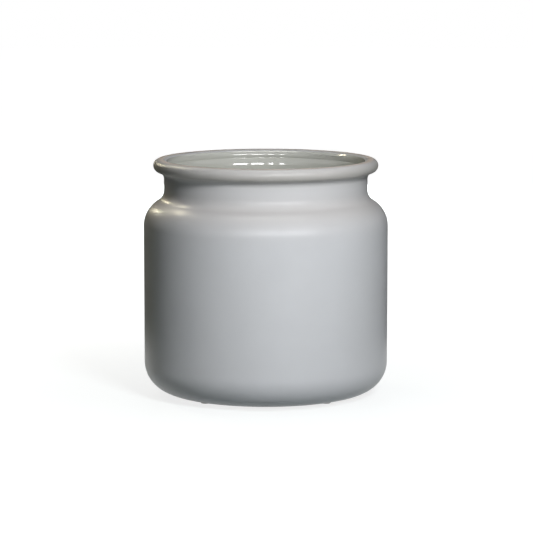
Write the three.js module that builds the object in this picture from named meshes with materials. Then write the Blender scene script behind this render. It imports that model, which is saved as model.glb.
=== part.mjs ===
// A plain jar-shaped planter of glazed stoneware, 240 mm across and about 230 mm high.
//
// It is a body of revolution: a straight round wall, a soft shoulder, a short waisted neck and a
// rolled rim. The fired clay carries two glazes, a matt one outside that runs over the rim, and a
// glossy one inside that makes it watertight. Four soft pads are stuck to the unglazed foot ring.
//
// Millimetres, +Z up. The origin is on the jar's axis, in the plane that the pads stand on.

import * as THREE from 'three';

// Outside of the jar, measured over the glaze.
const BODY_RADIUS = 120; // straight wall
const BASE_BEND = 30; // corner between the wall and the underside
const WALL_TOP = 164.5; // from the underside up to where the wall turns into the shoulder
const SHOULDER_BEND = 28;
const NECK_INSET = 20; // how far the neck stands in from the wall
const NECK_HOLLOW = 12.8; // hollow bend from the shoulder up into the neck
const NECK_LENGTH = 11; // straight part of the neck
const UNDER_RIM_BEND = 7; // hollow bend from the neck out under the roll

// Rolled rim: the roll outside, a level crest, and the lip inside.
const ROLL_RADIUS = 6.4;
const ROLL_SET_OUT = 4; // from the neck's outer face out to the roll's centre
const CREST_WIDTH = 2;
const LIP_RADIUS = 6.3;
const LIP_UNDERCUT = 16; // degrees that the lip turns back under itself
const CREASE_RADIUS = 1.5; // crease that the roll leaves under the lip

// Inside of the jar, measured over the glaze.
const WALL = 6.5;
const FLOOR = 8; // from the underside up to the inner floor
const INNER_BASE_BEND = 24;
const THROAT_TILT = 26; // degrees, below the crease, where the mouth narrows into the neck
const THROAT_BEND = 12;

// Glazes.
const GLAZE = 0.6;
const GLAZE_LINE = 8; // degrees up the base bend where the matt glaze stops
const GLAZE_MEETING = 45; // degrees from the crest, down the lip, where the two glazes meet

// Unglazed foot ring, standing down from the underside.
const FOOT_HEIGHT = 1;
const FOOT_INSET = 2; // from the end of the base bend in to the foot's edge
const FOOT_WIDTH = 12;
const RECESS_DEPTH = 2.5; // inside the foot ring, with sides at 45 degrees

// Pads.
const PAD_COUNT = 4;
const PAD_THICKNESS = 1.5;
const PAD_MARGIN = 1; // of bare foot on each side of a pad
const PAD_EDGE = 0.4; // chamfer round the face that meets the floor

// How far a facet may lie from the true surface.
const FACET_ERROR = 0.25;

// Heights and radii that follow from the above.
const footPlane = PAD_THICKNESS;
const underside = footPlane + FOOT_HEIGHT;
const innerFloor = underside + FLOOR;
const recessRoof = footPlane + RECESS_DEPTH;
const footOuter = BODY_RADIUS - BASE_BEND - FOOT_INSET;
const footInner = footOuter - FOOT_WIDTH;
const neckRadius = BODY_RADIUS - NECK_INSET;

// Centres of the profile's bends. Each pair of bends that meet is tangent.
const baseCentre = point(BODY_RADIUS - BASE_BEND, underside + BASE_BEND);
const shoulderCentre = point(BODY_RADIUS - SHOULDER_BEND, underside + WALL_TOP);
const hollowCentre = above(shoulderCentre, neckRadius + NECK_HOLLOW, SHOULDER_BEND + NECK_HOLLOW);
const shoulderAngle = direction(shoulderCentre, hollowCentre);
const underRimCentre = point(neckRadius + UNDER_RIM_BEND, hollowCentre.y + NECK_LENGTH);
const rollCentre = above(underRimCentre, neckRadius + ROLL_SET_OUT, UNDER_RIM_BEND + ROLL_RADIUS);
const rollAngle = direction(underRimCentre, rollCentre);
const crest = rollCentre.y + ROLL_RADIUS;
const lipCentre = point(rollCentre.x - CREST_WIDTH, crest - LIP_RADIUS);
const creaseCentre = around(lipCentre, LIP_RADIUS + CREASE_RADIUS, 180 + LIP_UNDERCUT);
const throatCentre = placeThroat();
const innerBaseCentre = point(BODY_RADIUS - WALL - INNER_BASE_BEND, innerFloor + INNER_BASE_BEND);

const materials = {
  stoneware: material('#d9cbb8', 0.85),
  mattGlaze: material('#c9cacd', 0.55),
  glossGlaze: material('#cfcfcc', 0.12),
  pad: material('#b9b7b2', 0.7),
};

// A point of the profile: x is the distance from the axis, y the height.
function point(radius, height) {
  return new THREE.Vector2(radius, height);
}

// The point at a distance and an angle, in degrees, from a centre.
function around(centre, distance, degrees) {
  const angle = THREE.MathUtils.degToRad(degrees);
  return point(centre.x + distance * Math.cos(angle), centre.y + distance * Math.sin(angle));
}

// The centre above another one, at a given radius, such that the two lie a given distance apart.
function above(centre, radius, distance) {
  const across = radius - centre.x;
  return point(radius, centre.y + Math.sqrt(distance * distance - across * across));
}

// The angle, in degrees, from one centre to another.
function direction(from, to) {
  return THREE.MathUtils.radToDeg(Math.atan2(to.y - from.y, to.x - from.x));
}

// The throat's bend starts at the height where its slope, run down from the crease, meets the neck.
function placeThroat() {
  const slopeTop = around(creaseCentre, CREASE_RADIUS, -THROAT_TILT);
  const bendAxis = neckRadius - WALL + THROAT_BEND;
  const slopeFoot = around(point(bendAxis, 0), THROAT_BEND, 180 - THROAT_TILT);
  const drop = (slopeTop.x - slopeFoot.x) / Math.tan(THREE.MathUtils.degToRad(THROAT_TILT));
  return point(bendAxis, slopeTop.y - drop - slopeFoot.y);
}

// The largest step round a circle that keeps its chord within the facet error, in degrees.
function facetStep(radius) {
  return THREE.MathUtils.radToDeg(2 * Math.acos(1 - FACET_ERROR / radius));
}

// The points of one bend, at a depth under the jar's surface. The surface has the given radius about
// the centre, and the clay lies inside the bend on a ridge and outside it on a hollow.
function bend(centre, radius, from, to, depth, clayInside) {
  const steps = Math.ceil(Math.abs(to - from) / facetStep(radius));
  const distance = clayInside ? radius - depth : radius + depth;
  return Array.from({ length: steps + 1 }, (_, i) =>
    around(centre, distance, from + ((to - from) * i) / steps));
}

function ridge(centre, radius, from, to, depth) {
  return bend(centre, radius, from, to, depth, true);
}

function hollow(centre, radius, from, to, depth) {
  return bend(centre, radius, from, to, depth, false);
}

// Bends end to end as one path, with each meeting point kept once.
function path(...bends) {
  const shortest = 0.001;
  return bends.flat().filter((p, i, all) => i === 0 || p.distanceTo(all[i - 1]) > shortest);
}

// The outside, from the glaze line up over the crest to where the glazes meet.
function outside(depth) {
  return path(
    ridge(baseCentre, BASE_BEND, GLAZE_LINE - 90, 0, depth),
    ridge(shoulderCentre, SHOULDER_BEND, 0, shoulderAngle, depth),
    hollow(hollowCentre, NECK_HOLLOW, shoulderAngle + 180, 180, depth),
    hollow(underRimCentre, UNDER_RIM_BEND, 180, rollAngle, depth),
    ridge(rollCentre, ROLL_RADIUS, rollAngle - 180, 90, depth),
    ridge(lipCentre, LIP_RADIUS, 90, 90 + GLAZE_MEETING, depth),
  );
}

// The inside, from where the glazes meet down to the middle of the floor.
function inside(depth) {
  return path(
    ridge(lipCentre, LIP_RADIUS, 90 + GLAZE_MEETING, 180 + LIP_UNDERCUT, depth),
    hollow(creaseCentre, CREASE_RADIUS, LIP_UNDERCUT, -THROAT_TILT, depth),
    ridge(throatCentre, THROAT_BEND, 180 - THROAT_TILT, 180, depth),
    ridge(hollowCentre, NECK_HOLLOW + WALL, 180, 180 + shoulderAngle, depth),
    hollow(shoulderCentre, SHOULDER_BEND - WALL, shoulderAngle, 0, depth),
    hollow(innerBaseCentre, INNER_BASE_BEND, 0, -90, depth),
    [point(0, innerFloor - depth)],
  );
}

// The unglazed underside, from the middle of the recess out over the foot ring to the glaze line.
function foot() {
  return path(
    [point(0, recessRoof), point(footInner - RECESS_DEPTH, recessRoof)],
    [point(footInner, footPlane), point(footOuter, footPlane)],
    ridge(baseCentre, BASE_BEND, -90, GLAZE_LINE - 90, GLAZE),
  );
}

// Twice the area inside a profile: positive where it runs anticlockwise.
function turning(profile) {
  return profile.reduce((sum, p, i) => sum + p.cross(profile[(i + 1) % profile.length]), 0);
}

// A profile turned about +Z. A clockwise one comes out inside out, so its triangles are reversed.
function turned(profile, facets) {
  const geometry = new THREE.LatheGeometry(profile, facets).rotateX(Math.PI / 2);
  if (turning(profile) < 0) {
    geometry.index.array.reverse();
    geometry.computeVertexNormals();
  }
  return geometry;
}

// Facets round a circle, in fours, so that the jar is as wide along X as along Y.
function facetsAround(radius) {
  return 4 * Math.ceil(90 / facetStep(radius));
}

function jarSolid(profile) {
  return turned(profile, facetsAround(BODY_RADIUS));
}

function stonewareBody() {
  return jarSolid(path(foot(), outside(GLAZE), inside(GLAZE)));
}

// Each glaze lists the face that it shares with the clay in the clay's own order, so that both are
// split into the same triangles and meet with no gap.
function outerMattGlaze() {
  const buried = outside(GLAZE);
  const seen = outside(0).reverse();
  return jarSolid([...buried, ...seen, buried[0]]);
}

function innerGlossGlaze() {
  const seen = inside(0).reverse();
  const buried = inside(GLAZE);
  return jarSolid([...seen, ...buried]);
}

function footPad() {
  const radius = FOOT_WIDTH / 2 - PAD_MARGIN;
  const edge = [
    point(0, 0),
    point(radius - PAD_EDGE, 0),
    point(radius, PAD_EDGE),
    point(radius, PAD_THICKNESS),
    point(0, PAD_THICKNESS),
  ];
  const facets = 24;
  return turned(edge, facets);
}

function material(color, roughness) {
  return new THREE.MeshStandardMaterial({ color, roughness, metalness: 0 });
}

function mesh(name, geometry, finish) {
  const piece = new THREE.Mesh(geometry, finish);
  piece.name = name;
  return piece;
}

// The pads stand evenly round the foot ring, with the first to the front right.
function footPads() {
  const pads = new THREE.Group();
  const ringRadius = (footOuter + footInner) / 2;
  for (let i = 0; i < PAD_COUNT; i += 1) {
    const angle = ((i - 0.5) * 2 * Math.PI) / PAD_COUNT;
    const pad = mesh(`foot_pad_${i + 1}`, footPad(), materials.pad);
    pad.position.set(ringRadius * Math.cos(angle), ringRadius * Math.sin(angle), 0);
    pads.add(pad);
  }
  return pads;
}

const planter = new THREE.Group();
planter.add(mesh('stoneware_body', stonewareBody(), materials.stoneware));
planter.add(mesh('outer_matt_glaze', outerMattGlaze(), materials.mattGlaze));
planter.add(mesh('inner_gloss_glaze', innerGlossGlaze(), materials.glossGlaze));
planter.add(footPads());

export default planter;
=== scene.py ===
# %% [markdown]
# # A jar planter of glazed stoneware
#
# The real object is a plain round pot, 240 mm across: a straight wall, a soft shoulder, a short neck
# and a rolled rim. It is one piece of fired clay with two skins of glaze melted onto it, a matt pale
# grey one outside and a glossy one inside, and it stands on four small foam pads.
#
# The lesson loads the measured model of the pot as a fixed frame and builds the visible surfaces over
# it. The frame is never moved: it says where each piece is and how large.

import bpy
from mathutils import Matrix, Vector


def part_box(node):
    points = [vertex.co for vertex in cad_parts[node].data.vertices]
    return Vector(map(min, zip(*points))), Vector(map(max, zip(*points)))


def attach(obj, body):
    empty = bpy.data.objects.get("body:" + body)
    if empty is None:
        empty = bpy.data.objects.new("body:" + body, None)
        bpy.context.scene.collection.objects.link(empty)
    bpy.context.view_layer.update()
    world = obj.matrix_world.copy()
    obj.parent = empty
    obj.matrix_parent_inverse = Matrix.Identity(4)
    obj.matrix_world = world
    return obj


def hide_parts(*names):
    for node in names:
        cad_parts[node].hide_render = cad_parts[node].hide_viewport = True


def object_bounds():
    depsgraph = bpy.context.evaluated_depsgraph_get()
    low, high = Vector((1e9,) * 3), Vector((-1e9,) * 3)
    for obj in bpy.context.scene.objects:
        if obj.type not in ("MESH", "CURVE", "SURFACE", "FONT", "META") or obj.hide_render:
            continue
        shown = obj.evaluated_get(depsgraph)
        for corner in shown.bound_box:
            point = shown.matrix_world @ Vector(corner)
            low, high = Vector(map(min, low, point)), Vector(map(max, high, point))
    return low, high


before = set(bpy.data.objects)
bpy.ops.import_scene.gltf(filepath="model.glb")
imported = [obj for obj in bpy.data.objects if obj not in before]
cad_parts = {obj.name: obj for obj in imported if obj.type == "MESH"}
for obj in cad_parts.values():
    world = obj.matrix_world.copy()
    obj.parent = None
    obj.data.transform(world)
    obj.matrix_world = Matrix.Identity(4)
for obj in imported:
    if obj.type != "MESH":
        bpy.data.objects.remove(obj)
cad_low, cad_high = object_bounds()
print("frame:", sorted(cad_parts), "from", tuple(cad_low), "to", tuple(cad_high))

# %% [markdown]
# Lengths are written in millimetres and turned to metres by one factor, because Blender's unit is the
# metre. Everything random comes from one seeded generator, so each run gives the same pot.

# %% Tools and units
import math

import bpy
import numpy as np
from mathutils import Vector

MM = 0.001
SEED = 7
random = np.random.default_rng(SEED)
scene = bpy.context.scene

# %% [markdown]
# ## The camera
#
# A photographer backs away from a pot and uses a long lens, so that its sides look parallel. Here the
# camera stands 2.6 m off, a quarter of a metre above the rim, and looks down by 8 degrees: enough to
# see the inside of the far lip but not the floor of the pot. The focal length follows from how large
# the pot is in the picture: a lens of one sensor width would make 1 m at 1 m distance fill the frame.

# %% Camera
SENSOR_WIDTH = 36.0  # millimetres, Blender's default
PICTURE_WIDTH = 533  # pixels
FOCAL_LENGTH = 2700  # in the same pixels
CAMERA_PLACE = (0.0007, -2.6365, 0.4905)
LOOK_DOWN = 7.88  # degrees

lens = bpy.data.cameras.new("camera")
lens.sensor_width = SENSOR_WIDTH
lens.lens = SENSOR_WIDTH * FOCAL_LENGTH / PICTURE_WIDTH
camera = bpy.data.objects.new("camera", lens)
camera.location = CAMERA_PLACE
camera.rotation_euler = (math.radians(90 - LOOK_DOWN), 0, 0)
scene.collection.objects.link(camera)
scene.camera = camera
print(f"lens {lens.lens:.1f} mm")

# %% [markdown]
# ## The outline as one path of arcs
#
# A potter shapes a pot with a turning profile, so the honest way to model it is one outline turned
# about the axis. It could be drawn by eye as a curve, but then the bends are never quite round, and
# gloss shows that at once. So the outline is a chain of true arcs that touch each other with a common
# tangent, with straight stretches between them. Each arc knows on which side its clay lies.

# %% Sizes of the outline
POT_RADIUS = cad_high.x
FOOT_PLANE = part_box("foot_pad_1")[1].z
GLAZE = POT_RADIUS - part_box("stoneware_body")[1].x
FOOT_HEIGHT = 1 * MM
UNDERSIDE = FOOT_PLANE + FOOT_HEIGHT

BASE_BEND = 30 * MM
WALL_TOP = 164.5 * MM  # above the underside
SHOULDER_BEND = 28 * MM
NECK_INSET = 20 * MM
NECK_HOLLOW = 12.8 * MM
NECK_LENGTH = 11 * MM
UNDER_RIM_BEND = 7 * MM
ROLL_RADIUS = 6.4 * MM
ROLL_SET_OUT = 4 * MM
CREST_WIDTH = 2 * MM
LIP_RADIUS = 6.3 * MM
LIP_UNDERCUT = 16  # degrees that the lip turns back under itself
CREASE_RADIUS = 1.5 * MM
WALL = 6.5 * MM
FLOOR = 8 * MM
INNER_BASE_BEND = 24 * MM
THROAT_TILT = 26  # degrees
THROAT_BEND = 12 * MM

NECK_RADIUS = POT_RADIUS - NECK_INSET
INNER_FLOOR = UNDERSIDE + FLOOR
print(f"glaze {GLAZE / MM:.2f} mm thick, neck {2 * NECK_RADIUS / MM:.0f} mm across")

# %% [markdown]
# Two arcs touch when their centres lie as far apart as their radii add up to. That fixes the height
# of each next centre, so no point of the outline has to be typed in.

# %% Centres of the arcs


def polar(centre, distance, degrees):
    """The centre plus the distance times (cosine, sine) of the angle, as (radius, height)."""
    angle = np.radians(degrees)
    return np.array([centre[0] + distance * np.cos(angle), centre[1] + distance * np.sin(angle)])


def touching(centre, radius, distance):
    """The centre at that radius, above the first one, so that the two lie that distance apart."""
    return np.array([radius, centre[1] + math.sqrt(distance**2 - (radius - centre[0]) ** 2)])


def heading(start, end):
    """The angle of the line from one centre to another, in degrees."""
    return math.degrees(math.atan2(end[1] - start[1], end[0] - start[0]))


base_centre = np.array([POT_RADIUS - BASE_BEND, UNDERSIDE + BASE_BEND])
shoulder_centre = np.array([POT_RADIUS - SHOULDER_BEND, UNDERSIDE + WALL_TOP])
hollow_centre = touching(shoulder_centre, NECK_RADIUS + NECK_HOLLOW, SHOULDER_BEND + NECK_HOLLOW)
under_rim_centre = np.array([NECK_RADIUS + UNDER_RIM_BEND, hollow_centre[1] + NECK_LENGTH])
roll_centre = touching(under_rim_centre, NECK_RADIUS + ROLL_SET_OUT, UNDER_RIM_BEND + ROLL_RADIUS)
crest = roll_centre[1] + ROLL_RADIUS
lip_centre = np.array([roll_centre[0] - CREST_WIDTH, crest - LIP_RADIUS])
crease_centre = polar(lip_centre, LIP_RADIUS + CREASE_RADIUS, 180 + LIP_UNDERCUT)
inner_base_centre = np.array([POT_RADIUS - WALL - INNER_BASE_BEND, INNER_FLOOR + INNER_BASE_BEND])
shoulder_angle = heading(shoulder_centre, hollow_centre)
roll_angle = heading(under_rim_centre, roll_centre)

throat_axis = NECK_RADIUS - WALL + THROAT_BEND
slope_top = polar(crease_centre, CREASE_RADIUS, -THROAT_TILT)
slope_foot = polar((throat_axis, 0), THROAT_BEND, 180 - THROAT_TILT)
slope_drop = (slope_top[0] - slope_foot[0]) / math.tan(math.radians(THROAT_TILT))
throat_centre = np.array([throat_axis, slope_top[1] - slope_drop - slope_foot[1]])
print(f"crest at {crest / MM:.2f} mm, frame's top at {cad_high.z / MM:.2f} mm")

# %% [markdown]
# The whole skin of the pot, from the underside up the outside, over the rim and down to the middle of
# the inner floor, becomes one long path. It is kept as five arrays: the length run so far, the radius,
# the height, and the two parts of the normal that points out of the clay. Any depth under the glaze
# is then the same path moved back along its normal.

# %% The skin path
ARC_SAMPLES = 160


def arc(centre, radius, start, end, clay_inside):
    """Rows of (radius, height, normal radius, normal height): the centre plus the radius times the
    direction. The normal is the direction where the clay is inside the bend, and its opposite else."""
    points = polar(centre, radius, np.linspace(start, end, ARC_SAMPLES)).T
    out = (points - centre) / radius
    return np.hstack([points, out if clay_inside else -out])


stretches = [
    arc(base_centre, BASE_BEND, -90, 0, True),
    arc(shoulder_centre, SHOULDER_BEND, 0, shoulder_angle, True),
    arc(hollow_centre, NECK_HOLLOW, shoulder_angle + 180, 180, False),
    arc(under_rim_centre, UNDER_RIM_BEND, 180, roll_angle, False),
    arc(roll_centre, ROLL_RADIUS, roll_angle - 180, 90, True),
    arc(lip_centre, LIP_RADIUS, 90, 180 + LIP_UNDERCUT, True),
    arc(crease_centre, CREASE_RADIUS, LIP_UNDERCUT, -THROAT_TILT, False),
    arc(throat_centre, THROAT_BEND, 180 - THROAT_TILT, 180, True),
    arc(hollow_centre, NECK_HOLLOW + WALL, 180, 180 + shoulder_angle, True),
    arc(shoulder_centre, SHOULDER_BEND - WALL, shoulder_angle, 0, False),
    arc(inner_base_centre, INNER_BASE_BEND, 0, -90, False),
    np.array([[0, INNER_FLOOR, 0, 1]]),
]
skin = np.vstack(stretches)
skin_steps = np.hypot(*np.diff(skin[:, :2], axis=0).T)
skin_run = np.concatenate([[0], np.cumsum(skin_steps)])
skin_end = skin_run[-1]
print(f"the skin is {skin_end / MM:.0f} mm long from underside to inner floor")

# %% [markdown]
# A grid needs close rows where the path bends and wide ones where it is straight. The measure below
# counts both: one unit for each few millimetres, and one for each few degrees of turn. Rows at equal
# steps of that measure follow every bend equally well.

# %% Rows that are close where the path bends
ROW_LENGTH = 5 * MM
ROW_TURN = 5  # degrees
FEWEST_ROWS = 3

skin_turn = np.degrees(np.arccos(np.clip(np.sum(skin[1:, 2:] * skin[:-1, 2:], axis=1), -1, 1)))
skin_measure = np.concatenate([[0], np.cumsum(skin_steps / ROW_LENGTH + skin_turn / ROW_TURN)])


def rows_between(start, end, coarseness=1):
    """Lengths along the skin from start to end, at equal steps of the measure."""
    first, last = np.interp([start, end], skin_run, skin_measure)
    count = max(FEWEST_ROWS, round((last - first) / coarseness))
    return np.interp(np.linspace(first, last, count + 1), skin_measure, skin_run)


def on_skin(run, depth):
    """Radius and height at that length along the skin, moved into the clay by the depth."""
    radius, height, out_radius, out_height = (np.interp(run, skin_run, column) for column in skin.T)
    return radius - depth * out_radius, height - depth * out_height


def run_to(stretch, share):
    """Length along the skin up to a share of one stretch."""
    first = sum(len(s) for s in stretches[:stretch])
    return np.interp(share, [0, 1], [skin_run[first], skin_run[first + ARC_SAMPLES - 1]])


print("rows on the whole skin:", len(rows_between(0, skin_end)))

# %% [markdown]
# ## From a profile to a closed mesh
#
# Blender's Screw modifier or Spin could turn the outline, but a grid of our own can also vary round
# the pot, which a hand-made piece does. A grid has one row for each profile point and one column for
# each direction. Every column is a copy of the profile turned about the axis, and rows are joined to
# their neighbours with four-sided faces. A row that lies on the axis shrinks to one point, and gets
# triangles instead, so that the pole is closed.

# %% Grid to mesh
COLUMNS = 320
ON_AXIS = 1e-7
SHARP = 50  # degrees, past which an edge isn't shaded smooth


def turned(radius, height, around, centre=(0, 0)):
    """x is the centre plus the radius times the cosine of the angle round the axis, y the same with
    the sine, and z the height. radius and height are rows x columns, around is one row of angles."""
    x = centre[0] + radius * np.cos(around)
    y = centre[1] + radius * np.sin(around)
    return np.stack([x, y, height + 0 * around], axis=-1)


def faces_of(rows, columns, loop):
    """Faces between neighbouring rows. The columns close on themselves, and the rows do in a loop."""
    row, column = np.meshgrid(np.arange(rows if loop else rows - 1), np.arange(columns), indexing="ij")
    next_row, next_column = (row + 1) % rows, (column + 1) % columns
    corners = [row * columns + column, row * columns + next_column,
               next_row * columns + next_column, next_row * columns + column]
    return np.stack(corners, axis=-1).reshape(-1, 4)


def closed_mesh(name, grid):
    """A mesh from a grid whose rows form a loop, or start and end on the axis with one point each."""
    rows, columns, _ = grid.shape
    spread = np.ptp(grid[[0, -1]], axis=1).max()
    loop = spread > ON_AXIS
    faces = faces_of(rows, columns, loop)
    points = grid.reshape(-1, 3)
    if not loop:
        faces = np.where(faces < columns, 0, faces)
        last = (rows - 1) * columns
        faces = np.where(faces >= last, last, faces)
    polygons = faces.tolist()
    if not loop:
        polygons = [list(dict.fromkeys(corners)) for corners in polygons]
        kept, place = np.unique(np.concatenate([np.array(p) for p in polygons]), return_inverse=True)
        points = points[kept]
        sizes = np.cumsum([len(p) for p in polygons])[:-1]
        polygons = [p.tolist() for p in np.split(place, sizes)]
    mesh = bpy.data.meshes.new(name)
    mesh.from_pydata(points.tolist(), [], polygons)
    mesh.shade_smooth()
    mesh.set_sharp_from_angle(angle=math.radians(SHARP))
    mesh.validate()
    return mesh


around = np.linspace(0, 2 * np.pi, COLUMNS, endpoint=False)

# %% [markdown]
# Each new piece is put in the scene and set on the body it rides on, and the part of the frame that
# it stands for is hidden. It gets its finish later.

# %% Adding a piece


def add_piece(name, mesh, node):
    """The mesh as a visible piece over one node of the frame."""
    piece = bpy.data.objects.new(name, mesh)
    scene.collection.objects.link(piece)
    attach(piece, "root")
    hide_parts(node)
    low, high = mesh_box(mesh)
    print(f"{name}: {len(mesh.polygons)} faces, {low} to {high} mm")
    return piece


def mesh_box(mesh):
    """Lowest and highest corner in millimetres."""
    points = np.empty(3 * len(mesh.vertices), np.float32)
    mesh.vertices.foreach_get("co", points)
    points = points.reshape(-1, 3) / MM
    return points.min(axis=0).round(2), points.max(axis=0).round(2)


# %% [markdown]
# ## What a hand and a kiln leave behind
#
# No fired pot is a perfect solid of revolution: it sags and warps by some tenths of a millimetre, and
# glaze runs a little thicker here and thinner there. The eye reads that from the way highlights bend.
# A noise texture as displacement would look lumpy, because its waves have no direction. A handful of
# long waves that run round and up the pot is closer to how clay really moves. They only ever take
# material away, so the pot never grows past its measured size.

# %% Long waves
WAVE_COUNT = 7
FEWEST_TURNS, MOST_TURNS = 2, 7  # waves round the pot
LONGEST_WAVE = 260 * MM
SHORTEST_WAVE = 70 * MM


def wave_set():
    """Random turns round the pot, length up the pot and phase for each wave."""
    turns = random.integers(FEWEST_TURNS, MOST_TURNS + 1, WAVE_COUNT)
    lengths = random.uniform(SHORTEST_WAVE, LONGEST_WAVE, WAVE_COUNT)
    return turns, lengths, random.uniform(0, 2 * np.pi, WAVE_COUNT)


def unevenness(waves, run, angle):
    """Between 0 and 1: the mean of cosines of (turns x angle + 2 pi x run / length + phase), moved up
    by one and halved."""
    total = sum(np.cos(turns * angle + 2 * np.pi * run / length + phase)
                for turns, length, phase in zip(*waves))
    return (1 + total / WAVE_COUNT) / 2


clay_waves = wave_set()
lining_waves = wave_set()
line_waves = wave_set()
meeting_waves = wave_set()
print(f"four sets of {WAVE_COUNT} waves")

# %% [markdown]
# ## The matt glaze outside
#
# The outside was dipped in a matt glaze. It has a real thickness of 0.6 mm, stops in a soft thick edge
# just above the foot, where the potter sponged it off so that the pot doesn't stick to the kiln shelf,
# and it draws thin over the crest of the rim. A painted-on material would lose that edge, so the glaze
# is its own closed shell: the seen face going up, and the face against the clay coming back down.

# %% Where the glazes start and meet
GLAZE_LINE = 8  # degrees up the base bend
GLAZE_MEETING = 45  # degrees past the crest, down the lip
LINE_WANDER = 0.8 * MM
MEETING_WANDER = 0.7 * MM
WANDER_FADE = 9 * MM

BASE_STRETCH, LIP_STRETCH = 0, 5
line_run = run_to(BASE_STRETCH, GLAZE_LINE / 90)
meeting_run = run_to(LIP_STRETCH, GLAZE_MEETING / (90 + LIP_UNDERCUT))

line_shift = LINE_WANDER * (unevenness(line_waves, 0, around) - 0.5)
meeting_shift = MEETING_WANDER * (unevenness(meeting_waves, 0, around) - 0.5)
print(f"matt glaze from {line_run / MM:.1f} to {meeting_run / MM:.1f} mm along the skin")


def wandering(run, end, shift):
    """Adds the shift at the end, less of it further away: exp(-(distance / fade) squared)."""
    near = np.exp(-(((run - end) / WANDER_FADE) ** 2))
    return run[:, None] + near[:, None] * shift


# %% [markdown]
# How thick the glaze lies is a function of the place on the skin. Near its lower edge it rises from
# nothing as a quarter of a circle does, like a drop on a table. Over the sharp crest surface tension
# pulls it away. Two more bands, at the foot of the neck and on the roll of the rim and under it, leave
# the shape alone and only make the colour a little darker: that is painted shade. Each of the three
# bands is a bell curve along the skin.

# %% Thickness of a glaze
EDGE_WIDTH = 0.9 * MM
THIN_ON_CREST = 0.3  # of the thickness
WARP = 0.22 * MM  # most that the waves take away
SAG_RISE = 9  # edge widths over which the waves grow from nothing

# Painted shade: the bands at the foot of the neck and on the roll only darken the colour.
HOLLOW_STRETCH, ROLL_STRETCH = 2, 4
# Painted shade on the roll is deepest a quarter of the way up its arc.
PAINTED_SHADE_UP_THE_ROLL = 0.25  # of its arc, where the glaze has gathered most
bands = {  # middle and half width of each
    "painted_shade_neck_foot": (run_to(HOLLOW_STRETCH, 0), 20 * MM),
    "roll": (run_to(ROLL_STRETCH, PAINTED_SHADE_UP_THE_ROLL), 12 * MM),
    "crest": (run_to(LIP_STRETCH, 0) - CREST_WIDTH / 2, 3 * MM),
}


def share_of(band, run):
    """A bell curve along the skin: exp(-(distance from the band's middle / half width) squared)."""
    middle, half_width = bands[band]
    return np.exp(-(((run - middle) / half_width) ** 2))


def edge_rise(distance):
    """From 0 at the edge to 1: the height of a quarter circle, sqrt(1 - (1 - distance / width)^2)."""
    left = np.clip(1 - distance / EDGE_WIDTH, 0, 1)
    return np.sqrt(1 - left**2)


# %% [markdown]
# The rows start a little closer together at the edge, so that its roundness has enough faces. The
# coat's two faces use the same wandering edge, so they close on it.

# %% The matt coat
EDGE_ROWS = 10
BURIED_COARSENESS = 4

edge_rows = line_run + EDGE_WIDTH * (1 - np.cos(np.linspace(0, np.pi / 2, EDGE_ROWS)))
coat_rows = np.concatenate([edge_rows[:-1], rows_between(edge_rows[-1], meeting_run)])
back_rows = rows_between(line_run, meeting_run, BURIED_COARSENESS)[::-1]


def between_lines(run):
    """The run on each column, with both ends of the matt glaze wandering."""
    low = wandering(run, line_run, line_shift)
    return low + wandering(run, meeting_run, meeting_shift) - run[:, None]


seen_run = between_lines(coat_rows)
drawn_thin = 1 - THIN_ON_CREST * share_of("crest", seen_run)
thickness = GLAZE * drawn_thin * edge_rise(coat_rows - line_run)[:, None]
sag_rise = edge_rise((coat_rows - line_run) / SAG_RISE)[:, None]
sag = WARP * (1 - unevenness(clay_waves, seen_run, around)) * sag_rise
meeting_fade = 1 - np.exp(-(((coat_rows - meeting_run) / WANDER_FADE) ** 2))[:, None]
seen = on_skin(seen_run, GLAZE - thickness + sag * meeting_fade)
back = on_skin(between_lines(back_rows), GLAZE)

coat_grid = turned(np.vstack([seen[0], back[0]]), np.vstack([seen[1], back[1]]), around)
matt_coat = add_piece("matt_glaze_coat", closed_mesh("matt_glaze_coat", coat_grid),
                      "outer_matt_glaze")

# %% [markdown]
# The material needs to know where the bands are, so each goes onto the vertices as an attribute. An
# attribute travels with the mesh, while a texture painted by height would have to be set again if the
# rim ever changed.

# %% Storing the bands


def store(mesh, name, values):
    """One number for each vertex, in the order of the grid."""
    attribute = mesh.attributes.new(name, "FLOAT", "POINT")
    attribute.data.foreach_set("value", np.asarray(values, np.float32).ravel())


for band in bands:
    store(matt_coat.data, band, np.vstack([share_of(band, seen_run), 0 * back[0]]))
print("bands on the matt coat:", *bands)

# %% [markdown]
# ## The glossy glaze inside
#
# A pot that holds water is lined with a glossy glaze, poured in, swirled round and poured out again.
# It starts on the lip, where it meets the matt one, and runs down to the floor. It flows more than the
# matt glaze, so its waves are a little lower. They die away at both ends: on the lip, where the two
# glazes have to meet, and in the middle of the floor, where all columns of the grid come together.

# %% The glossy lining
MEETING_WIDTH = 1.6 * MM  # on the lip, where the rows are close
LINING_WARP = 0.18 * MM
AXIS_FADE = 40 * MM  # round the middle of the floor, where the waves die away

lining_rows = rows_between(meeting_run, skin_end)
close_rows = meeting_run + MEETING_WIDTH * np.linspace(0, 1, EDGE_ROWS)
lining_rows = np.concatenate([close_rows, lining_rows[lining_rows > close_rows[-1]]])
under_rows = rows_between(meeting_run, skin_end, BURIED_COARSENESS)[::-1]

lining_run = wandering(lining_rows, meeting_run, meeting_shift)
from_meeting = (lining_rows - meeting_run)[:, None]
axis_fade = np.clip((skin_end - lining_rows) / AXIS_FADE, 0, 1)[:, None]
lining_sag = LINING_WARP * (1 - unevenness(lining_waves, lining_run, around)) * axis_fade
lining_sag = lining_sag * (1 - np.exp(-((from_meeting / WANDER_FADE) ** 2)))
seen = on_skin(lining_run, lining_sag)
under = on_skin(wandering(under_rows, meeting_run, meeting_shift), GLAZE)

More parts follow.
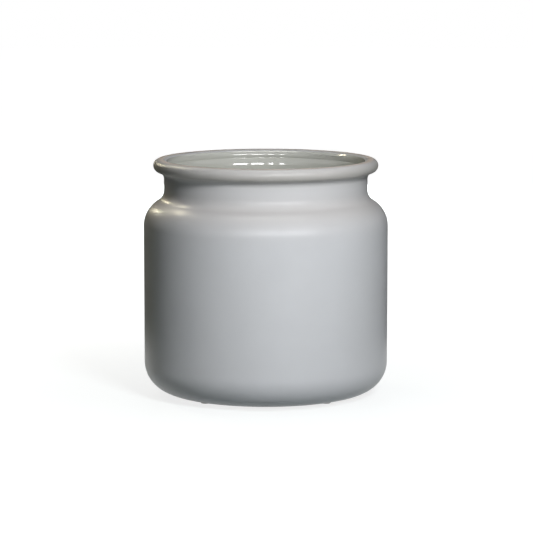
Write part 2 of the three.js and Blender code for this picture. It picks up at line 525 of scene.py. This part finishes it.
lining_grid = turned(np.vstack([under[0], seen[0]]), np.vstack([under[1], seen[1]]), around)
lining = add_piece("gloss_glaze_lining", closed_mesh("gloss_glaze_lining", lining_grid),
                   "inner_gloss_glaze")

# %% [markdown]
# ## The clay under the glazes
#
# Bare clay shows only underneath: the foot ring that the pot was fired on, the shallow recess inside
# it, and a narrow band up to the glaze. The recess keeps the rings that a turning tool cuts. They are
# real grooves here and not a bump texture, so that they also show in the mesh.

# %% Foot outline
FOOT_INSET = 2 * MM
FOOT_WIDTH = 12 * MM
RECESS_DEPTH = 2.5 * MM
FOOT_EDGE = 0.7 * MM

foot_outer = POT_RADIUS - BASE_BEND - FOOT_INSET
foot_inner = foot_outer - FOOT_WIDTH
recess_roof = FOOT_PLANE + RECESS_DEPTH


def soft_corner(before, corner, after, reach, points=9):
    """A corner rounded by the curve (1-t)^2 A + 2t(1-t) C + t^2 B between the points A and B that lie
    the reach before and after the corner C."""
    before, corner, after = (np.array(p, float) for p in (before, corner, after))
    start = corner + reach * (before - corner) / np.linalg.norm(before - corner)
    end = corner + reach * (after - corner) / np.linalg.norm(after - corner)
    t = np.linspace(0, 1, points)[:, None]
    return (1 - t) ** 2 * start + 2 * t * (1 - t) * corner + t**2 * end


middle = (0, recess_roof)
roof_edge = (foot_inner - RECESS_DEPTH, recess_roof)
inner_edge = (foot_inner, FOOT_PLANE)
outer_edge = (foot_outer, FOOT_PLANE)
clay_start = np.array(on_skin(0, GLAZE))
print(f"foot ring {2 * foot_inner / MM:.0f} to {2 * foot_outer / MM:.0f} mm across")

# %% [markdown]
# The grooves are a cosine across the recess, deepest half way out. A slow second wave makes some of
# them deeper than others, as a hand-held tool does.

# %% The clay body
GROOVE_PITCH = 2.6 * MM
GROOVE_DEPTH = 0.16 * MM
SLOW_SHARE = 0.35  # of the depth, by which the slow wave swings either way
SLOW_PITCHES = 5.3  # grooves in one slow wave
ROOF_ROWS = 110
CLAY_COARSENESS = 2.5

roof_radius = np.linspace(0, roof_edge[0] - 2 * FOOT_EDGE, ROOF_ROWS)
fade = np.sin(np.pi * roof_radius / roof_radius[-1])
groove = 0.5 - 0.5 * np.cos(2 * np.pi * roof_radius / GROOVE_PITCH)
slow = 1 - SLOW_SHARE + SLOW_SHARE * np.cos(2 * np.pi * roof_radius / (SLOW_PITCHES * GROOVE_PITCH))
roof = np.stack([roof_radius, recess_roof + GROOVE_DEPTH * fade * groove * slow], axis=1)
foot = np.vstack([
    roof,
    soft_corner(middle, roof_edge, inner_edge, FOOT_EDGE),
    soft_corner(roof_edge, inner_edge, outer_edge, FOOT_EDGE),
    soft_corner(inner_edge, outer_edge, clay_start, FOOT_EDGE),
])
clay_rows = rows_between(0, skin_end, CLAY_COARSENESS)
body_outline = np.vstack([foot, np.stack(on_skin(clay_rows, GLAZE), axis=1)])
wide = np.ones(COLUMNS)
body_grid = turned(body_outline[:, :1] * wide, body_outline[:, 1:] * wide, around)
clay = add_piece("stoneware_pot", closed_mesh("stoneware_pot", body_grid),
                 "stoneware_body")

# %% [markdown]
# ## Four foam pads
#
# The pads are punched from a sheet of foam rubber with glue on its back. A punch squeezes the foam, so
# the side of each disc is drawn in at mid height once it springs back, and its edges are soft.

# %% Pads
PAD_COUNT = 4
PAD_EDGE = 0.35 * MM
PAD_WAIST = 0.18 * MM
PAD_COLUMNS = 72
PAD_ROWS = 26

pad_around = np.linspace(0, 2 * np.pi, PAD_COLUMNS, endpoint=False)


def pad_outline(radius, thickness):
    """From the middle of the lower face round to the middle of the upper one: a rounded rectangle,
    with its side drawn in by the waist times the sine of the height's share of half a turn."""
    corners = [(0, 0), (radius, 0), (radius, thickness), (0, thickness)]
    lower = soft_corner(corners[0], corners[1], corners[2], PAD_EDGE)
    upper = soft_corner(corners[1], corners[2], corners[3], PAD_EDGE)
    side = np.linspace(lower[-1], upper[0], PAD_ROWS)[1:-1]
    side_height = upper[0, 1] - lower[-1, 1]
    side[:, 0] -= PAD_WAIST * np.sin(np.pi * (side[:, 1] - lower[-1, 1]) / side_height)
    inward = np.linspace(0, lower[0, 0], PAD_ROWS)[:-1]
    under = np.stack([inward, 0 * inward], axis=1)
    over = np.stack([inward[::-1], thickness + 0 * inward], axis=1)
    return np.vstack([under, lower, side, upper, over])


pads = []
for number in range(1, PAD_COUNT + 1):
    node = f"foot_pad_{number}"
    low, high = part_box(node)
    outline = pad_outline((high.x - low.x) / 2, high.z - low.z)
    full = np.ones(PAD_COLUMNS)
    centre = ((low.x + high.x) / 2, (low.y + high.y) / 2)
    grid = turned(outline[:, :1] * full, outline[:, 1:] * full, pad_around, centre)
    pads.append(add_piece(f"foam_pad_{number}", closed_mesh(f"foam_pad_{number}", grid), node))

# %% [markdown]
# ## Two helpers for materials
#
# Colours are picked as they look on a screen, and Blender computes with light, so each hex value goes
# through the sRGB curve once. The second helper adds any node with its settings and its links.

# %% Colour and node helpers


def linear(hex_colour):
    """sRGB to linear light: c / 12.92 where c is at most 0.04045, and ((c + 0.055) / 1.055) ^ 2.4."""
    c = np.array([int(hex_colour[i:i + 2], 16) for i in (1, 3, 5)]) / 255
    return (*np.where(c <= 0.04045, c / 12.92, ((c + 0.055) / 1.055) ** 2.4).tolist(), 1.0)


def add(tree, kind, inputs=None, **settings):
    """Adds a node. settings are its properties, and inputs are values or other nodes' sockets."""
    node = tree.nodes.new(kind)
    for name, value in settings.items():
        setattr(node, name, value)
    for socket, value in (inputs or {}).items():
        if isinstance(value, bpy.types.NodeSocket):
            tree.links.new(value, node.inputs[socket])
        else:
            node.inputs[socket].default_value = value
    return node


MIX_FACTOR, MIX_FIRST, MIX_SECOND, MIX_RESULT = 0, 6, 7, 2  # a Mix node's sockets for colours
VALUE, FROM_LOW, FROM_HIGH, TO_LOW, TO_HIGH = range(5)  # a Map Range node's sockets


def mixed(tree, factor, first, second):
    """first x (1 - factor) + second x factor, as a colour."""
    inputs = {MIX_FACTOR: factor, MIX_FIRST: first, MIX_SECOND: second}
    return add(tree, "ShaderNodeMix", inputs, data_type="RGBA").outputs[MIX_RESULT]


def new_material(name):
    """A material with a Principled shader, and the tree and shader to work on."""
    material = bpy.data.materials.new(name)
    material.use_nodes = True
    return material, material.node_tree, material.node_tree.nodes["Principled BSDF"]


# %% [markdown]
# ## Matt stoneware glaze
#
# A matt glaze is full of microscopic crystals that grow as the kiln cools. They scatter light, which
# gives a soft eggshell sheen without any clear reflection. Up close the surface has a fine grain and a
# few pinholes. From a step away the eye sees a very even pale grey, a touch cool, that turns buff along
# the crest, where it is thinnest. At the foot of the neck and under the roll of the rim the colour is a
# little deeper and warmer, which is painted shade. The changes are small, and most of the work is in
# the roughness and the grain. The top of the glaze melts further than the rest, and a faint second
# layer of gloss stands for that.

# %% Material: matt glaze, its colour
CLOUD = 38 * MM  # patches where the glaze lies thicker
BREAK = 6 * MM  # patches in which the clay shows through on the crest
LEAST_CLAY, MOST_CLAY = 0.6, 1.0  # how far it shows in them
NOISE_LOW, NOISE_HIGH = 0.3, 0.7  # most of a noise texture lies between these

matt, tree, shader = new_material("matt_stoneware_glaze")
place = add(tree, "ShaderNodeTexCoord").outputs["Object"]
clouds = add(tree, "ShaderNodeTexNoise", {"Vector": place, "Scale": 1 / CLOUD, "Detail": 3.0})
tint = mixed(tree, clouds.outputs[0], linear("#c5c6c9"), linear("#cccdd0"))

# Painted shade: the colour turns a little deeper and warmer at the foot of the neck and on the roll.
for band, painted_shade_hue in (("painted_shade_neck_foot", "#c2c0c0"), ("roll", "#b6b3af")):
    share = add(tree, "ShaderNodeAttribute", attribute_name=band).outputs["Fac"]
    tint = mixed(tree, share, tint, linear(painted_shade_hue))
crest_share = add(tree, "ShaderNodeAttribute", attribute_name="crest").outputs["Fac"]
broken = add(tree, "ShaderNodeTexNoise", {"Vector": place, "Scale": 1 / BREAK, "Detail": 2.0})
broken = add(tree, "ShaderNodeMapRange", {VALUE: broken.outputs[0], FROM_LOW: NOISE_LOW,
                                          FROM_HIGH: NOISE_HIGH, TO_LOW: LEAST_CLAY, TO_HIGH: MOST_CLAY})
warmth = add(tree, "ShaderNodeMath", {0: crest_share, 1: broken.outputs[0]}, operation="MULTIPLY")
colour = mixed(tree, warmth.outputs[0], tint, linear("#e0cfc2"))
tree.links.new(colour, shader.inputs["Base Color"])
matt_coat.data.materials.append(matt)
print(matt.name, len(tree.nodes), "nodes for its colour")

# %% [markdown]
# The same noise at other scales gives the rest: broad patches that are a little duller or glossier, and
# a grain as a bump. The pinholes are the middles of large Voronoi cells, pressed in.

# %% Material: matt glaze, its sheen and grain
GLAZE_IOR = 1.52  # silicate glazes lie between 1.50 and 1.56
SHEEN_PATCH = 16 * MM
GLOSSIEST, DULLEST = 0.36, 0.42  # roughness of those patches
MIRROR_SHARE = 0.34  # of plain gloss, because the crystals break it up
MELTED_TOP = 0.08  # how much of a second layer of gloss there is
MELTED_TOP_ROUGHNESS = 0.22
GRAIN = 0.9 * MM  # real crystals are ten times finer, and drawn coarse enough to show
GRAIN_HEIGHT = 0.012 * MM
PINHOLE_SPACING = 11 * MM
PINHOLE_RADIUS = 0.028  # as a share of the spacing
PINHOLE_DEPTH = 0.12 * MM

patches = add(tree, "ShaderNodeTexNoise", {"Vector": place, "Scale": 1 / SHEEN_PATCH, "Detail": 2.0})
sheen = add(tree, "ShaderNodeMapRange", {VALUE: patches.outputs[0], FROM_LOW: NOISE_LOW,
                                         FROM_HIGH: NOISE_HIGH, TO_LOW: GLOSSIEST, TO_HIGH: DULLEST})
tree.links.new(sheen.outputs[0], shader.inputs["Roughness"])

grain = add(tree, "ShaderNodeTexNoise", {"Vector": place, "Scale": 1 / GRAIN, "Detail": 3.0})
bump = add(tree, "ShaderNodeBump", {"Height": grain.outputs[0], "Distance": GRAIN_HEIGHT})
cells = add(tree, "ShaderNodeTexVoronoi", {"Vector": place, "Scale": 1 / PINHOLE_SPACING})
holes = add(tree, "ShaderNodeMapRange", {VALUE: cells.outputs["Distance"], FROM_LOW: 0.0,
                                         FROM_HIGH: PINHOLE_RADIUS})
bump = add(tree, "ShaderNodeBump", {"Height": holes.outputs[0], "Distance": PINHOLE_DEPTH,
                                    "Normal": bump.outputs[0]})
tree.links.new(bump.outputs[0], shader.inputs["Normal"])
shader.inputs["IOR"].default_value = GLAZE_IOR
shader.inputs["Specular IOR Level"].default_value = MIRROR_SHARE / 2  # 0.5 is plain gloss
shader.inputs["Coat Weight"].default_value = MELTED_TOP
shader.inputs["Coat Roughness"].default_value = MELTED_TOP_ROUGHNESS
print(matt.name, len(tree.nodes), "nodes in all")

# %% [markdown]
# ## Glossy liner glaze
#
# This is a clear glaze with a little tin or zircon in it, fired until it is glass. Glass is smooth, so
# the lamps show in it as crisp bright shapes, and what bends them is the slow ripple that is left
# where it ran. A low roughness alone would give perfect mirror images, which look like plastic. The
# ripple comes from a bump of a few thousandths of a millimetre over waves of about a centimetre.

# %% Material: gloss glaze
GLOSS = 0.04
RIPPLE = 13 * MM
RIPPLE_HEIGHT = 0.0025 * MM
POCK_SPACING = 17 * MM
POCK_RADIUS = 0.03  # as a share of the spacing, here and below
POCK_DEPTH = 0.1 * MM

gloss, tree, shader = new_material("gloss_liner_glaze")
place = add(tree, "ShaderNodeTexCoord").outputs["Object"]
clouds = add(tree, "ShaderNodeTexNoise", {"Vector": place, "Scale": 1 / CLOUD, "Detail": 2.0})
colour = mixed(tree, clouds.outputs[0], linear("#babbb4"), linear("#c3c4be"))
tree.links.new(colour, shader.inputs["Base Color"])

ripple = add(tree, "ShaderNodeTexNoise", {"Vector": place, "Scale": 1 / RIPPLE, "Detail": 1.0})
bump = add(tree, "ShaderNodeBump", {"Height": ripple.outputs[0], "Distance": RIPPLE_HEIGHT})
cells = add(tree, "ShaderNodeTexVoronoi", {"Vector": place, "Scale": 1 / POCK_SPACING})
pocks = add(tree, "ShaderNodeMapRange", {VALUE: cells.outputs["Distance"], FROM_LOW: 0.0,
                                         FROM_HIGH: POCK_RADIUS})
bump = add(tree, "ShaderNodeBump", {"Height": pocks.outputs[0], "Distance": POCK_DEPTH,
                                    "Normal": bump.outputs[0]})
tree.links.new(bump.outputs[0], shader.inputs["Normal"])
shader.inputs["Roughness"].default_value = GLOSS
shader.inputs["IOR"].default_value = GLAZE_IOR
lining.data.materials.append(gloss)
print(gloss.name, len(tree.nodes), "nodes")

# %% [markdown]
# ## Fired stoneware
#
# Under the glaze the clay is buff and dry. It holds grog, ground-up fired clay of up to half a
# millimetre that shows as pale grains, and iron specks that burn to brown dots. Both are cells of a
# Voronoi texture: the distance to the nearest cell's middle is small inside a grain. The cell's own
# random colour decides which cells hold a speck at all.

# %% Material: stoneware
GROG_SPACING = 1.6 * MM
GROG_RADIUS = 0.28
GROG_SHARE = 0.5  # how far a grain differs from the clay round it
SPECK_SPACING = 4.5 * MM
SPECK_RADIUS = 0.1
SPECK_SHARE = 0.8
SPECK_CHOICE = 0.45  # a cell holds a speck where its random colour is above this
CLAY_GRAIN = 0.5 * MM
CLAY_GRAIN_HEIGHT = 0.05 * MM
CLAY_ROUGHNESS = 0.86

stoneware, tree, shader = new_material("fired_buff_stoneware")
place = add(tree, "ShaderNodeTexCoord").outputs["Object"]
clouds = add(tree, "ShaderNodeTexNoise", {"Vector": place, "Scale": 1 / CLOUD, "Detail": 4.0})
tint = mixed(tree, clouds.outputs[0], linear("#d2c2ac"), linear("#dfd3c1"))
grog = add(tree, "ShaderNodeTexVoronoi", {"Vector": place, "Scale": 1 / GROG_SPACING})
grog = add(tree, "ShaderNodeMapRange", {VALUE: grog.outputs["Distance"], FROM_LOW: GROG_RADIUS / 2,
                                        FROM_HIGH: GROG_RADIUS, TO_LOW: GROG_SHARE, TO_HIGH: 0.0})
tint = mixed(tree, grog.outputs[0], tint, linear("#ebe3d6"))
cells = add(tree, "ShaderNodeTexVoronoi", {"Vector": place, "Scale": 1 / SPECK_SPACING})
inside = add(tree, "ShaderNodeMapRange", {VALUE: cells.outputs["Distance"], FROM_LOW: SPECK_RADIUS / 2,
                                          FROM_HIGH: SPECK_RADIUS, TO_LOW: SPECK_SHARE, TO_HIGH: 0.0})
chosen = add(tree, "ShaderNodeMath", {0: cells.outputs["Color"], 1: SPECK_CHOICE},
             operation="GREATER_THAN")
specks = add(tree, "ShaderNodeMath", {0: inside.outputs[0], 1: chosen.outputs[0]}, operation="MULTIPLY")
colour = mixed(tree, specks.outputs[0], tint, linear("#6b4a30"))
tree.links.new(colour, shader.inputs["Base Color"])
grain = add(tree, "ShaderNodeTexNoise", {"Vector": place, "Scale": 1 / CLAY_GRAIN, "Detail": 4.0})
bump = add(tree, "ShaderNodeBump", {"Height": grain.outputs[0], "Distance": CLAY_GRAIN_HEIGHT})
tree.links.new(bump.outputs[0], shader.inputs["Normal"])
shader.inputs["Roughness"].default_value = CLAY_ROUGHNESS
clay.data.materials.append(stoneware)
print(stoneware.name, len(tree.nodes), "nodes")

# %% [markdown]
# ## Foam rubber
#
# The pads are closed-cell foam: grey, dull, with cut cells that show as tiny dents.

# %% Material: foam rubber
CELL = 0.45 * MM
CELL_DEPTH = 0.06 * MM
FOAM_ROUGHNESS = 0.75

foam, tree, shader = new_material("closed_cell_foam_rubber")
place = add(tree, "ShaderNodeTexCoord").outputs["Object"]
cells = add(tree, "ShaderNodeTexVoronoi", {"Vector": place, "Scale": 1 / CELL})
colour = mixed(tree, cells.outputs["Distance"], linear("#a9a7a2"), linear("#c2c0bb"))
tree.links.new(colour, shader.inputs["Base Color"])
bump = add(tree, "ShaderNodeBump", {"Height": cells.outputs["Distance"], "Distance": -CELL_DEPTH})
tree.links.new(bump.outputs[0], shader.inputs["Normal"])
shader.inputs["Roughness"].default_value = FOAM_ROUGHNESS
for pad in pads:
    pad.data.materials.append(foam)
print(foam.name, "on", len(pads), "pads")

# %% [markdown]
# ## The floor
#
# A product photographer stands a pot on white paper that runs on behind it. Lighting the paper until
# it is white would flood the pot with light from below and wash its shading out. So the paper is a mid
# grey for the pot, and for the camera and for reflections it gets a glow that tops it up to white. The
# glow is a little weaker near the pot, which paints a soft shadow round its foot, and it is the same in
# the pot's real shadow, so that shadow stays.

# %% Floor
FLOOR_RADIUS = 6.0
FLOOR_CORNERS = 96
PAPER = "#848b8b"
DULL = 0.9  # roughness of paper and card
# Near the pot the glow is weaker: a painted soft shadow round the foot.
GLOW_IN_PAINTED_SHADOW, GLOW_FAR = 0.8, 1.0  # of white
PAINTED_SHADOW_FADE_START, PAINTED_SHADOW_FADE_END = 0.1, 0.5  # metres from the pot's axis


def seen_directly(tree):
    """1 for rays from the camera and for those that a glossy or clear surface sends on, else 0."""
    rays = add(tree, "ShaderNodeLightPath").outputs
    either = add(tree, "ShaderNodeMath", {0: rays["Is Camera Ray"], 1: rays["Is Glossy Ray"]},
                 operation="MAXIMUM")
    return add(tree, "ShaderNodeMath", {0: either.outputs[0], 1: rays["Is Transmission Ray"]},
               operation="MAXIMUM").outputs[0]


paper, tree, shader = new_material("white_paper")
shader.inputs["Base Color"].default_value = linear(PAPER)
shader.inputs["Roughness"].default_value = DULL
shader.inputs["Specular IOR Level"].default_value = 0.0
place = add(tree, "ShaderNodeTexCoord").outputs["Object"]
distance = add(tree, "ShaderNodeVectorMath", {0: place}, operation="LENGTH").outputs["Value"]
# Painted shadow: the glow rises from its level near the pot to white between these distances from the
# axis.
level = add(tree, "ShaderNodeMapRange", {VALUE: distance, FROM_LOW: PAINTED_SHADOW_FADE_START, FROM_HIGH: PAINTED_SHADOW_FADE_END,
                                         TO_LOW: GLOW_IN_PAINTED_SHADOW, TO_HIGH: GLOW_FAR})
glow = add(tree, "ShaderNodeMath", {0: level.outputs[0], 1: seen_directly(tree)}, operation="MULTIPLY")
emission = add(tree, "ShaderNodeEmission", {"Strength": glow.outputs[0]})
both = add(tree, "ShaderNodeAddShader", {0: shader.outputs[0], 1: emission.outputs[0]})
tree.links.new(both.outputs[0], tree.nodes["Material Output"].inputs["Surface"])

turns = np.linspace(0, 2 * np.pi, FLOOR_CORNERS, endpoint=False)
edge = np.stack([FLOOR_RADIUS * np.cos(turns), FLOOR_RADIUS * np.sin(turns), 0 * turns], axis=1)
mesh = bpy.data.meshes.new("floor")
mesh.from_pydata(edge.tolist(), [], [list(range(FLOOR_CORNERS))])
mesh.materials.append(paper)
floor = bpy.data.objects.new("floor", mesh)
scene.collection.objects.link(floor)
print(f"a floor {2 * FLOOR_RADIUS:.0f} m across")

# %% [markdown]
# ## The lamps
#
# One soft lamp to the right of the camera, well above the pot, does the shading: the wall falls off to
# dark on the left, and the rim throws its shadow on the neck. A wide, weak reflector low in front keeps
# the foot from going black. The bright dashes inside the rim come from something else, a row of four
# small panes lower down along one wall. As one long lamp they would give one long streak. A matt
# surface would blend their light with the soft lamp's anyway, so each kind does one job: the lamp and
# the reflector are hidden from reflections, and the panes are seen in them only.
#
# A lamp is easiest to place the way a photographer speaks of it: so far round, so high, so far away.

# %% Aiming a lamp
LIT_HEIGHT = 0.12  # about half way up the pot, where most lamps aim


def toward(azimuth, elevation=0):
    """The direction at that azimuth and elevation: azimuth 0 is towards the camera and grows to the
    right, so that x = cos(e) sin(a), y = -cos(e) cos(a) and z = sin(e)."""
    turn, lift = math.radians(azimuth), math.radians(elevation)
    level = math.cos(lift)
    return np.array([level * math.sin(turn), -level * math.cos(turn), math.sin(lift)])


def soft_lamp(name, place, target, size, power, colour):
    """A rectangular lamp at a place, turned to shine at the target."""
    lamp = bpy.data.lights.new(name, "AREA")
    lamp.shape = "RECTANGLE"
    lamp.size, lamp.size_y = size
    lamp.energy = power
    lamp.color = linear(colour)[:3]
    item = bpy.data.objects.new(name, lamp)
    item.location = place
    aim = Vector(target) - Vector(place)
    item.rotation_euler = aim.to_track_quat("-Z", "Y").to_euler()
    scene.collection.objects.link(item)
    return item


def aimed_lamp(name, azimuth, elevation, distance, size, power, colour, target=(0, 0, LIT_HEIGHT)):
    """A lamp at that direction and distance from the target, turned to it."""
    place = np.array(target) + distance * toward(azimuth, elevation)
    return soft_lamp(name, place, target, size, power, colour)


# %% [markdown]
# Angles are in degrees, lengths in metres and powers in watts. Each pane is given by the azimuths of
# its two sides, because those are what can be read off the dashes that it makes in the rim.

# %% Key lamp, reflector and panes
key = aimed_lamp("key", azimuth=20, elevation=30, distance=1.15, size=(0.26, 0.26), power=10.4,
                 colour="#ffffff")
reflector = aimed_lamp("reflector", azimuth=15, elevation=6, distance=1.15, size=(0.5, 0.5), power=1.1,
                       colour="#e6f4ff")
key.visible_glossy = reflector.visible_glossy = False

PANE_SPANS = ((39, 22), (17, 2), (-3, -9), (-16.5, -22.5))
PANE_ELEVATION = 14
PANE_DISTANCE = 1.4
PANE_HEIGHT = 0.36
PANE_GLOW = 60  # watts for each square metre

far_lip = (0, NECK_RADIUS, crest - LIP_RADIUS)
for number, (right, left) in enumerate(PANE_SPANS, 1):
    width = 2 * PANE_DISTANCE * math.tan(math.radians(right - left) / 2)
    power = PANE_GLOW * width * PANE_HEIGHT
    pane = aimed_lamp(f"pane_{number}", (right + left) / 2, PANE_ELEVATION, PANE_DISTANCE,
                      (width, PANE_HEIGHT), power, "#fdfdff", far_lip)
    pane.visible_diffuse = False
print("a key lamp, a reflector and", len(PANE_SPANS), "panes")

# %% [markdown]
# The same split is used behind the pot. A weak warm lamp behind on the left reaches the left shoulder,
# where the shadow of the rim cuts it off along a slant. A wide window there and a small low lamp are
# what the shoulder and the far lip mirror. A panel overhead draws the thin bright line along the far
# lip, and a low fill behind keeps the back of the pot readable. The room is nearly dark for the pot,
# yellower on the left than on the right, and white for the camera, for the same reason as the floor.

# %% Room
WARM = "#fff4d4"
DAYLIGHT = "#f7f6f0"
ROOM_GLOW = 0.035  # of white, on the pot
LEFT_SHOULDER = (-0.084, -0.070, 0.189)  # places on the pot that the warm lamps aim at
LEFT_OF_SHOULDER = (-0.105, -0.041, 0.185)

warm = aimed_lamp("warm", azimuth=-139.5, elevation=39.5, distance=1.4, size=(0.14, 0.14), power=1.7,
                  colour=WARM, target=LEFT_SHOULDER)
fill = aimed_lamp("back_fill", azimuth=180, elevation=6, distance=1.9, size=(0.9, 0.9), power=24.0,
                  colour="#ffffff")
warm.visible_glossy = fill.visible_glossy = False
window = aimed_lamp("warm_window", azimuth=-133.5, elevation=39.5, distance=1.4, size=(0.42, 0.1),
                    power=6.4, colour=WARM, target=LEFT_SHOULDER)
ceiling = aimed_lamp("ceiling", azimuth=0, elevation=80, distance=1.5, size=(1.2, 0.5), power=13.0,
                     colour=DAYLIGHT)
window.visible_diffuse = ceiling.visible_diffuse = False
aimed_lamp("warm_low", azimuth=-149, elevation=17, distance=1.8, size=(0.06, 0.06), power=4.0,
           colour=WARM, target=LEFT_OF_SHOULDER)
print("five lamps round the room")

world = bpy.data.worlds.new("room")
scene.world = world
world.use_nodes = True
tree = world.node_tree
white = tree.nodes["Background"]
white.inputs["Color"].default_value = linear("#ffffff")
direction = add(tree, "ShaderNodeTexCoord").outputs["Generated"]
across = add(tree, "ShaderNodeSeparateXYZ", {0: direction}).outputs["X"]
side = add(tree, "ShaderNodeMapRange", {VALUE: across, FROM_LOW: -1.0, FROM_HIGH: 1.0}).outputs[0]
tint = mixed(tree, side, linear("#c9c5a6"), linear("#a9c4c6"))
room = add(tree, "ShaderNodeBackground", {"Color": tint, "Strength": ROOM_GLOW})
either = add(tree, "ShaderNodeMixShader", {0: seen_directly(tree), 1: room.outputs[0],
                                           2: white.outputs[0]})
tree.links.new(either.outputs[0], tree.nodes["World Output"].inputs["Surface"])

# %% [markdown]
# White all round would draw a bright line down both sides of the pot, because every surface mirrors at
# a flat angle. A photographer stands black cards round a pale object, just out of the picture, to give
# it dark edges against a white ground. Three curved cards do that here: two beside the pot, low enough
# for the warm window to show over them, and a taller one behind. They act in reflections only, so the
# camera looks through them and they throw no shadow.

# %% Black cards
CARD_RADIUS = 0.36
SIDE_HEIGHT, BACK_HEIGHT = 0.42, 0.8
CARD_COLUMNS = 24

black_card, _, shader = new_material("black_card")
shader.inputs["Base Color"].default_value = linear("#1c1b18")
shader.inputs["Roughness"].default_value = DULL


def curved_card(name, start, end, height):
    """Upright on the floor, along the circle of the card radius from one azimuth to the other."""
    foot_line = CARD_RADIUS * np.array([toward(a) for a in np.linspace(start, end, CARD_COLUMNS)])
    points = np.concatenate([foot_line, foot_line + [0, 0, height]])
    faces = [(i, i + 1, CARD_COLUMNS + i + 1, CARD_COLUMNS + i) for i in range(CARD_COLUMNS - 1)]
    mesh = bpy.data.meshes.new(name)
    mesh.from_pydata(points.tolist(), [], faces)
    mesh.materials.append(black_card)
    card = bpy.data.objects.new(name, mesh)
    scene.collection.objects.link(card)
    card.visible_camera = card.visible_diffuse = card.visible_shadow = False


curved_card("left_card", start=-150, end=-60, height=SIDE_HEIGHT)
curved_card("right_card", start=64, end=150, height=SIDE_HEIGHT)
curved_card("back_card", start=150, end=210, height=BACK_HEIGHT)
print("three black cards")

# %% [markdown]
# ## The view transform
#
# The view transform stays plain, so a colour renders about as it was written. The visual model has to
# stay inside the measured frame.

# %% Finish
scene.view_settings.view_transform = "Standard"
